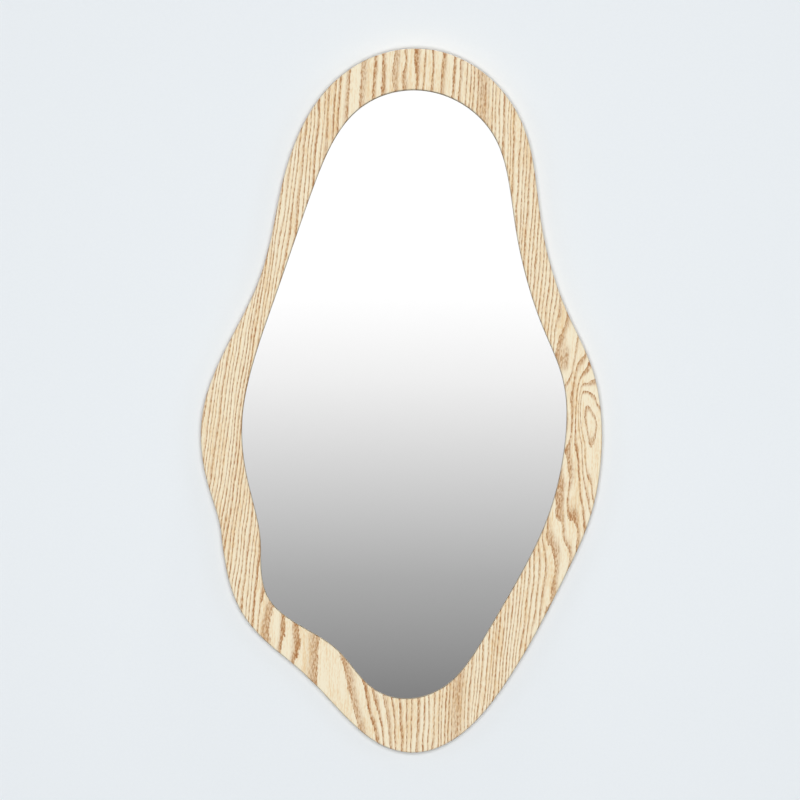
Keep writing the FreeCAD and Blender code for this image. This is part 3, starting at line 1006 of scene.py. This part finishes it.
def middles(node: str, level: float, apart: float) -> list[Vector]:
    """Find the middles of the screw heads in a node that holds several screws.

    Args:
        node: The CAD node.
        level: The Y in mm of the head tops.
        apart: Points nearer than this in mm belong to one head.

    Returns:
        A place at Y = 0 for each head.
    """
    heads: list[list[Vector]] = []
    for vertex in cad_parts[node].data.vertices:
        if abs(vertex.co.y - level * MM) > LEVEL_PLAY * MM:
            continue
        for head in heads:
            if (head[0] - vertex.co).length < apart * MM:
                head.append(vertex.co.copy())
                break
        else:
            heads.append([vertex.co.copy()])
    places = []
    for head in heads:
        sides = [[min(point[axis] for point in head), max(point[axis] for point in head)] for axis in (0, 2)]
        places.append(Vector((sum(sides[0]) / 2, 0, sum(sides[1]) / 2)))
    return places


def start_disc(radius: float, level: float, corners: int = 32) -> None:
    """Add a filled circle square to Y, and stay in edit mode with it selected.

    Args:
        radius: Its radius in mm.
        level: Its Y in mm.
        corners: How many corners it has.
    """
    deselect_pieces()
    bpy.ops.mesh.primitive_circle_add(vertices=corners, radius=radius * MM, fill_type="NGON",
                                      location=(0, level * MM, 0), rotation=(math.pi / 2, 0, 0))
    settle()
    bpy.ops.object.mode_set(mode="EDIT")
    bpy.ops.mesh.select_all(action="SELECT")


def extrude_to(depth: float, growth: float = 1.0) -> None:
    """Extrude the selected disc along Y.

    Args:
        depth: How far in mm, towards the wall where it is above 0.
        growth: How many times wider the new end is.
    """
    extrude_by(0, depth, 0)
    if growth != 1.0:
        bpy.ops.transform.resize(value=(growth, 1.0, growth))


def copy_to(piece: Piece, name: str, place: Vector) -> Piece:
    """Copy a piece with a mesh of its own, which holds its place.

    Args:
        piece: The piece, made about the origin.
        name: The copy's name.
        place: Where the copy stands.

    Returns:
        The copy, at the origin.
    """
    twin = piece.copy()
    twin.data = piece.data.copy()
    twin.name = name
    twin.data.name = name
    twin.data.transform(Matrix.Translation(place))
    bpy.context.collection.objects.link(twin)
    return twin


def join_copies(pattern: Piece, name: str, places: list[Vector]) -> Piece:
    """Set a copy of a pattern at each place, join them and clear the pattern away.

    Args:
        pattern: The piece to copy, made about the Y axis.
        name: The joined piece's name.
        places: Where the copies stand.

    Returns:
        The joined piece, at the origin.
    """
    twins = [copy_to(pattern, name, place) for place in places]
    bpy.data.objects.remove(pattern)
    deselect_pieces()
    for twin in twins:
        twin.select_set(True)
    bpy.context.view_layer.objects.active = twins[0]
    bpy.ops.object.join()
    return twins[0]


class Head(Enum):
    """The two kinds of screw head."""

    COUNTERSUNK = "countersunk"
    PAN = "pan"


def cut_away(piece: Piece, tool: Piece) -> None:
    """Cut one piece out of another, and leave the cut piece alone selected.

    Args:
        piece: The piece to cut.
        tool: What is cut out of it. It is cleared away.
    """
    cut = piece.modifiers.new("cut", "BOOLEAN")
    cut.operation = "DIFFERENCE"
    cut.solver = "EXACT"
    cut.object = tool
    deselect_pieces()
    bpy.context.view_layer.objects.active = piece
    piece.select_set(True)
    bpy.ops.object.modifier_apply(modifier=cut.name)
    bpy.data.objects.remove(tool)


@dataclass
class WoodScrew:
    """A cross-recessed wood screw, modelled once and copied."""

    head: Head
    top: float  # Y of the head's top, mm
    radius: float  # of the head, mm
    height: float  # of the head's straight edge, mm
    length: float  # under the head's top, mm
    shank: float = 1.5  # radius, mm
    point: float = 2.5  # length of the point, mm
    point_end: float = 0.12  # the point's end, as a share of the shank
    dome: float = 0.62  # the rounded share of a pan head's height
    slot: Triple = (3.0, 0.7, 1.1)  # length, width and depth of the recess, mm
    slot_floor: float = 0.45  # the recess's floor, as a share of its mouth
    crease: float = 30.0  # degrees; corners sharper than this stay sharp

    def cut_cross(self, screw: Piece) -> None:
        """Sink a tapered cross into the head.

        Args:
            screw: The screw, made about the Y axis.
        """
        length, width, depth = self.slot
        for turn in (0.0, math.pi / 2):
            deselect_pieces()
            bpy.ops.mesh.primitive_cube_add(size=1.0, location=(0, self.top * MM, 0))
            blade = bpy.context.object
            blade.scale = (length * MM, 2 * depth * MM, width * MM)
            blade.rotation_euler = (0, turn, 0)
            settle()
            bpy.ops.object.mode_set(mode="EDIT")
            select(Part.FACES, lambda face: face.normal.y < -0.9)
            bpy.ops.transform.resize(value=(self.slot_floor, 1.0, self.slot_floor))
            bpy.ops.object.mode_set(mode="OBJECT")
            cut_away(screw, blade)

    def build(self, name: str, node: str) -> Piece:
        """Build every screw of a node.

        Args:
            name: The name of the joined piece.
            node: The CAD node that it stands for.

        Returns:
            The joined screws.
        """
        start_disc(self.radius, self.top)
        extrude_to(-self.height)
        if self.head is Head.COUNTERSUNK:
            extrude_to(self.shank - self.radius, self.shank / self.radius)
            used = self.height + self.radius - self.shank
        else:
            bpy.ops.mesh.inset(thickness=(self.radius - self.shank) * MM)
            used = self.height
        extrude_to(-(self.length - used - self.point))
        extrude_to(-self.point, self.point_end)
        if self.head is Head.PAN:
            select(Part.EDGES, lambda edge: turns_at_level(edge, self.top))
            bpy.ops.mesh.bevel(offset=self.height * self.dome * MM, segments=6, profile=0.5, affect="EDGES")
        screw = finish_piece("screw_pattern")
        self.cut_cross(screw)
        bpy.ops.object.shade_smooth_by_angle(angle=math.radians(self.crease))
        return join_copies(screw, name, middles(node, self.top, 2.2 * self.radius))


def sweep_end(angle: float, centre: Triple, axis: tuple[int, int, int]) -> None:
    """Sweep the selected edges round a line, and keep the new end selected.

    Args:
        angle: How far, in radians.
        centre: A point on the line, in mm.
        axis: The way of the line.
    """
    steps = max(4, round(abs(angle) / math.radians(SWEEP_STEP)))
    middle = tuple(MM * part for part in centre)
    bpy.ops.mesh.spin(steps=steps, dupli=False, angle=angle, center=middle, axis=axis)


@dataclass
class Hanger:
    """A strap folded from a strip of sheet, and the wire ring that swings in its loop."""

    sheet: float = 0.78  # thickness of the strip, mm
    width: float = 9.0
    length: float = 24.0  # hinge line to the rounded end, mm
    loop: float = 1.5  # hinge line to the middle of the sheet, mm
    leaf_step: float = 0.8  # middle of one leaf to the middle of the other, mm
    hole: float = 1.7  # radius, mm
    hole_drops: Span = (6.5, 18.0)  # hinge line to the holes, mm
    soft_edge: float = 0.12  # mm, where the strip was tumbled
    wire: float = 1.0  # radius of the ring's wire, mm
    straight: float = 4.9  # half of the ring's straight side, mm
    corner: float = 2.0  # radius of its two corners, mm
    reach: float = 12.0  # hinge line to the ring's crown, mm

    def fold_strip(self) -> Piece:
        """Fold the middle surface of the strip round the hinge line at the origin.

        Returns:
            The folded surface, in edit mode.
        """
        far = -self.loop
        near = far + self.leaf_step
        turn = math.acos(1 - (self.loop - near) / (2 * self.loop))
        bend_y = 2 * self.loop * math.cos(turn)
        bend_z = -2 * self.loop * math.sin(turn)
        deselect_pieces()
        bpy.ops.mesh.primitive_plane_add(size=1.0, rotation=(math.pi / 2, 0, 0),
                                         location=(0, far * MM, -self.length / 2 * MM))
        strap = bpy.context.object
        strap.scale = (self.width * MM, self.length * MM, 1)
        settle()
        bpy.ops.object.mode_set(mode="EDIT")
        select(Part.EDGES, lambda edge: all(abs(vertex.co.z) < TOUCH for vertex in edge.verts))
        sweep_end(math.pi + turn, (0, 0, 0), (1, 0, 0))
        sweep_end(-turn, (0, bend_y, bend_z), (1, 0, 0))
        extrude_by(0, 0, -self.length - bend_z)
        return strap

    def make_strap(self, name: str) -> Piece:
        """Fold a strap, round its two ends, thicken it and drill it.

        Args:
            name: The piece's name.

        Returns:
            The strap, its hinge line at the origin.
        """
        strap = self.fold_strip()
        select(Part.VERTICES, lambda vertex: abs(vertex.co.z + self.length * MM) < TOUCH)
        # Just under half of the width, so that the two rounded corners of an end don't meet.
        bpy.ops.mesh.bevel(offset=self.width * 0.499 * MM, segments=10, profile=0.5, affect="VERTICES")
        finish_piece(name)
        thicken = strap.modifiers.new("sheet", "SOLIDIFY")
        thicken.thickness = self.sheet * MM
        thicken.offset = 0.0
        bpy.ops.object.modifier_apply(modifier=thicken.name)
        for drop in self.hole_drops:
            bpy.ops.mesh.primitive_cylinder_add(vertices=24, radius=self.hole * MM, depth=10 * MM,
                                                location=(0, 0, -drop * MM), rotation=(math.pi / 2, 0, 0))
            cut_away(strap, bpy.context.object)
        soften = strap.modifiers.new("soft_edges", "BEVEL")
        soften.width = self.soft_edge * MM
        soften.segments = 2
        soften.angle_limit = math.radians(50)
        bpy.ops.object.modifier_apply(modifier=soften.name)
        bpy.ops.object.shade_smooth_by_angle(angle=math.radians(CREASE))
        return strap

    def make_ring(self, name: str) -> Piece:
        """Bend a wire to a D, its straight side on the hinge line at the origin.

        Args:
            name: The piece's name.

        Returns:
            The ring.
        """
        half_width = self.straight + self.corner
        spring_line = self.reach - half_width
        deselect_pieces()
        bpy.ops.mesh.primitive_circle_add(vertices=20, radius=self.wire * MM, fill_type="NOTHING",
                                          rotation=(0, math.pi / 2, 0))
        settle()
        bpy.ops.object.mode_set(mode="EDIT")
        bpy.ops.mesh.select_all(action="SELECT")
        extrude_by(self.straight, 0, 0)
        sweep_end(math.pi / 2, (self.straight, 0, self.corner), (0, 1, 0))
        extrude_by(0, 0, spring_line - self.corner)
        sweep_end(math.pi, (0, 0, spring_line), (0, 1, 0))
        extrude_by(0, 0, self.corner - spring_line)
        sweep_end(math.pi / 2, (-self.straight, 0, self.corner), (0, 1, 0))
        extrude_by(self.straight, 0, 0)
        bpy.ops.mesh.select_all(action="SELECT")
        bpy.ops.mesh.remove_doubles(threshold=TOUCH)
        return finish_piece(name)


@dataclass
class BackSide:
    """The back board, its screws, the hangers and the wall bumpers."""

    bumper_radius: float = 6.0  # mm where it is stuck on
    bumper_crown: float = 5.2  # mm where it meets the wall
    bumper_round: float = 1.2
    loop_outside: float = 1.9  # hinge line to the outside of the strap's loop, mm

    def make_bumpers(self, finish: Material) -> None:
        """Model a rubber bumper and set a copy of it at each of the four places.

        Args:
            finish: The rubber.
        """
        start_disc(self.bumper_radius, RING_BACK, 48)
        extrude_to(-RING_BACK, self.bumper_crown / self.bumper_radius)
        select(Part.EDGES, lambda edge: turns_at_level(edge, 0.0))
        bpy.ops.mesh.bevel(offset=self.bumper_round * MM, segments=6, profile=0.5, affect="EDGES")
        pattern = finish_piece("bumper_pattern")
        for number in range(1, 5):
            node = f"wall_bumper_{number}"
            low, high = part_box(node)
            middle = Vector(((low.x + high.x) / 2, 0, (low.z + high.z) / 2))
            fit(copy_to(pattern, f"bumper_{number}", middle), finish, node)
        bpy.data.objects.remove(pattern)

    def make_hangers(self, strip: Material, wire: Material) -> None:
        """Model a strap and its ring, and set a copy of both on each side.

        Args:
            strip: The straps' finish.
            wire: The rings' finish.
        """
        hanger = Hanger()
        strap_pattern = hanger.make_strap("strap_pattern")
        ring_pattern = hanger.make_ring("ring_pattern")
        for side in ("left", "right"):
            low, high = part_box(f"hanger_strap_{side}")
            edge = Vector(((low.x + high.x) / 2, low.y, high.z))
            hinge = edge + Vector((0, 1, -1)) * self.loop_outside * MM
            strap = copy_to(strap_pattern, f"strap_{side}", hinge)
            fit(strap, strip, f"hanger_strap_{side}")
            ring = copy_to(ring_pattern, f"wire_ring_{side}", hinge)
            fit(ring, wire, f"hanger_ring_{side}", f"ring_{side}")
        bpy.data.objects.remove(strap_pattern)
        bpy.data.objects.remove(ring_pattern)

    def build(self) -> None:
        """Build and dress the back."""
        dress_nodes(HARDBOARD.build(), "back_board")
        yellow = YELLOW_ZINC.build()
        countersunk = WoodScrew(Head.COUNTERSUNK, top=RING_BACK, radius=2.8, height=0.3, length=12.0)
        pan = WoodScrew(Head.PAN, top=-0.7, radius=2.9, height=1.7, length=14.7)
        screws = (
            (countersunk, "board_screws", "back_board_screws"),
            (pan, "hanger_pan_screws", "hanger_screws"),
        )
        for screw, name, node in screws:
            fit(screw.build(name, node), yellow, node)
        self.make_hangers(ZINC_STRIP.build(), ZINC_WIRE.build())
        self.make_bumpers(BUMPER_RUBBER.build())


# ---- The room -------------------------------------------------------------------------------

@dataclass(frozen=True)
class WallPaint(Finish):
    """Matt emulsion, rolled on: even and pale, with a fine stipple that hardly shows."""

    name: str = "wall_emulsion_rolled"
    stipple: Noise = Noise((2.5, 2.5, 2.5), 3.0, 0.0, 1.0, 2.0)  # mm

    def shader(self, tree: Tree) -> Socket:
        """Build the paint, which is clear where the wall is seen from behind.

        Args:
            tree: The material's nodes.

        Returns:
            The surface's shader.
        """
        stipple = self.stipple.build(tree, places_in_mm(tree))
        tone = add_node(tree, "Mix", COLOURS, {0: stipple, 6: "F0F4F7", 7: "EEF2F5"}, BLEND)
        relief = add_node(tree, "Bump", inputs={"Strength": 0.15, "Distance": 0.00005, "Height": stipple})
        paint = add_node(tree, "BsdfDiffuse", inputs={"Color": tone, "Normal": relief})
        clear = add_node(tree, "BsdfTransparent")
        back = add_node(tree, "NewGeometry", out="Backfacing")
        return add_node(tree, "MixShader", inputs=[back, paint, clear])


@dataclass(frozen=True)
class Lamp:
    """A soft square lamp that points at the mirror."""

    name: str
    place: Triple  # m
    size: float  # m
    watts: float
    mirrored: bool = True  # whether the glass shows it

    def hang(self) -> None:
        """Add the lamp."""
        bpy.ops.object.light_add(type="AREA", location=self.place)
        lamp = bpy.context.object
        lamp.name = self.name
        lamp.data.energy = self.watts
        lamp.data.size = self.size
        lamp.rotation_euler = (-Vector(self.place)).to_track_quat("-Z", "Y").to_euler()
        lamp.visible_glossy = self.mirrored
        lamp.visible_transmission = self.mirrored


@dataclass
class Studio:
    """The wall behind the mirror, the light and the camera."""

    lens: float = 300.0  # mm
    distance: float = 6.6667  # m from the face to the camera, which makes a pixel 1 mm there
    centre_x: float = -1.5  # mm, where the camera points
    centre_z: float = 0.5
    wall_half: float = 3.0  # m
    lamps: tuple[Lamp, ...] = (
        Lamp("front_light", (0.0, -4.0, 0.0), 1.1, 119.0, mirrored=False),
        Lamp("top_light", (0.8, -0.35, 4.0), 0.6, 24.0),
        Lamp("left_fill", (-2.5, -2.5, 0.3), 1.0, 4.0),
        Lamp("right_fill", (2.5, -2.5, 0.3), 1.0, 4.0),
        Lamp("back_light", (0.3, 3.0, 1.5), 2.0, 90.0),
    )
    room_span: Span = (-0.0467, 0.02)  # Z of the directions in which the ramp starts and ends
    room_ramp: tuple[tuple[float, str], ...] = (
        (0.0, "7A7A7A"),
        (0.30, "AAAAAA"),
        (0.565, "D5D5D5"),
        (0.745, "EDEDED"),
        (0.95, "FFFFFF"),
    )

    def make_wall(self) -> None:
        """Add the wall. Only the camera sees it, and only from the front."""
        deselect_pieces()
        bpy.ops.mesh.primitive_plane_add(size=2 * self.wall_half, rotation=(math.pi / 2, 0, 0))
        wall = bpy.context.object
        wall.name = "wall"
        settle()
        dress(wall, WallPaint().build())
        wall.visible_diffuse = False
        wall.visible_glossy = False
        wall.visible_transmission = False
        wall.visible_shadow = False

    def make_world(self) -> None:
        """Light the room, and give the glass a room that darkens downwards."""
        world = bpy.data.worlds.new("room")
        bpy.context.scene.world = world
        world.use_nodes = True
        tree = world.node_tree
        tree.nodes.clear()
        direction = add_node(tree, "TexCoord", out="Generated")
        height = add_node(tree, "SeparateXYZ", inputs=[direction], out="Z")
        level = add_node(tree, "MapRange", inputs=[height, *self.room_span])
        seen = add_node(tree, "ValToRGB", inputs=[level])
        set_ramp(seen, self.room_ramp)
        floor = add_node(tree, "MapRange", inputs=[height, -0.05, -1.0, 0.0, 1.0])
        seen = add_node(tree, "Mix", COLOURS, {0: floor, 6: seen, 7: "E4E6E8"}, BLEND)
        path = add_node(tree, "LightPath").node
        mirrored = add_node(tree, "Math", MAXIMUM,
                            [path.outputs["Is Glossy Ray"], path.outputs["Is Transmission Ray"]])
        even = add_node(tree, "Background", inputs={"Color": "F4FAFF", "Strength": 0.18})
        graded = add_node(tree, "Background", inputs={"Color": seen, "Strength": 1.05})
        pale = add_node(tree, "Background", inputs={"Color": "EBEFF2", "Strength": 1.0})
        lit = add_node(tree, "MixShader", inputs=[mirrored, even, graded])
        shown = add_node(tree, "MixShader", inputs=[path.outputs["Is Camera Ray"], lit, pale])
        add_node(tree, "OutputWorld", inputs={"Surface": shown})

    def make_camera(self) -> None:
        """Add the camera, square to the wall."""
        place = (self.centre_x * MM, FACE_FRONT * MM - self.distance, self.centre_z * MM)
        bpy.ops.object.camera_add(location=place, rotation=(math.pi / 2, 0, 0))
        camera = bpy.context.object
        camera.data.lens = self.lens
        bpy.context.scene.camera = camera

    def build(self) -> None:
        """Set up the room."""
        bpy.context.scene.view_settings.view_transform = "Standard"
        self.make_camera()
        self.make_wall()
        self.make_world()
        for lamp in self.lamps:
            lamp.hang()
        LOG.info("studio ready")


def main() -> None:
    """Build the mirror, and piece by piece."""
    logging.basicConfig(level=logging.INFO, format="%(name)s: %(message)s")
    Studio().build()
    WoodenRing().build()
    MirrorPlate().build()
    BackSide().build()


if __name__ == "__main__":
    main()
